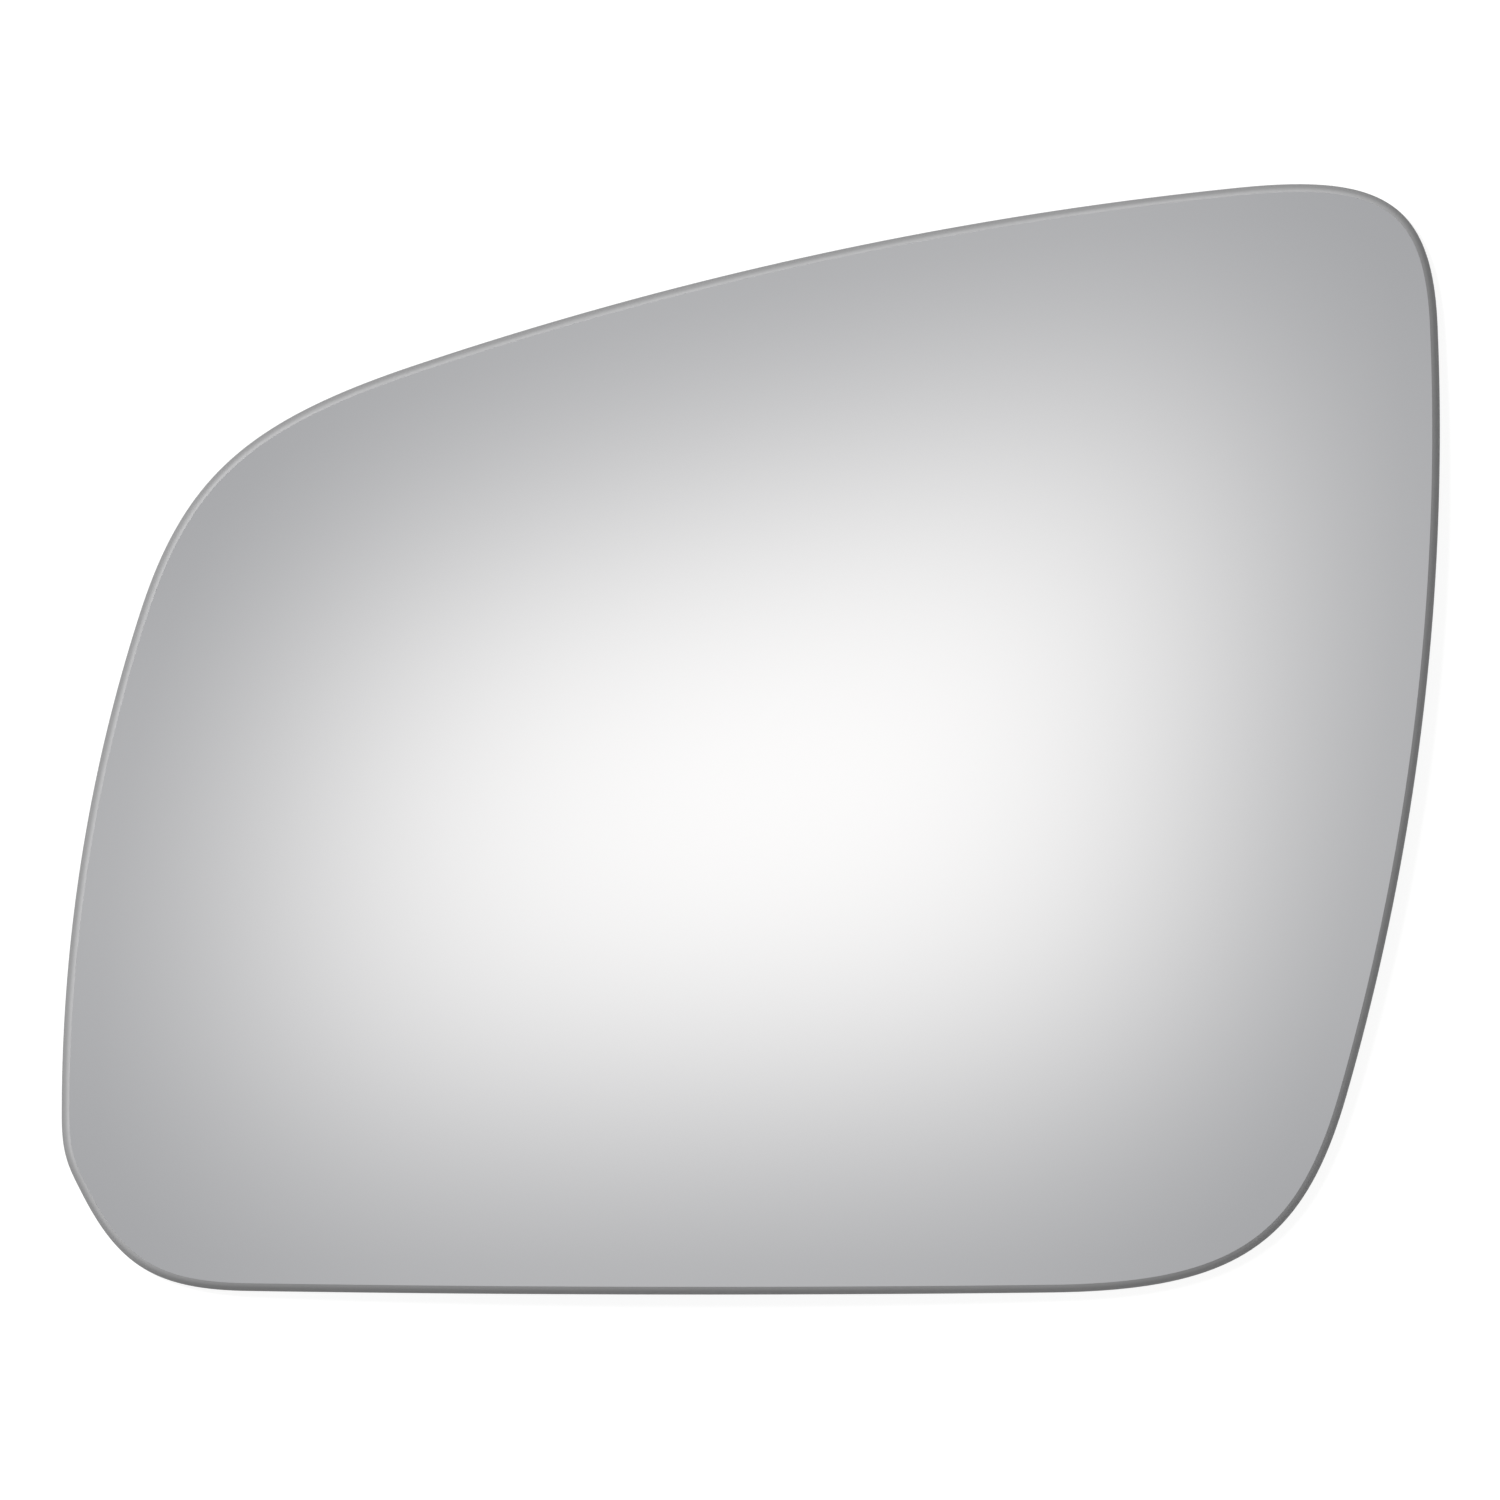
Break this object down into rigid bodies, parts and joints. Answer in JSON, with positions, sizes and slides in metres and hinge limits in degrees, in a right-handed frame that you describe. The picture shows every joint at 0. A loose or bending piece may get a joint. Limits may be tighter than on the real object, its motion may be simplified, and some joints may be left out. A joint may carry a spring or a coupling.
{
  "type": "car door mirror glass",
  "caption": "Convex door mirror glass with a swept, round-cornered outline and a ground edge, to be bonded to a carrier by its hollow back.",
  "frame": {"origin": "middle of the overall width and height, at the level of the rim points that the pane rests on", "axes": "+Z out of the reflecting face, +X to the right and +Y to the top as seen from the front"},
  "size_m": [0.18, 0.145, 0.0062],
  "materials": {
    "mirror_glass": "silvered glass with a finely ground edge"
  },
  "bodies": {
    "root": {"mirror_glass": "mirror_glass"}
  },
  "joints": []
}
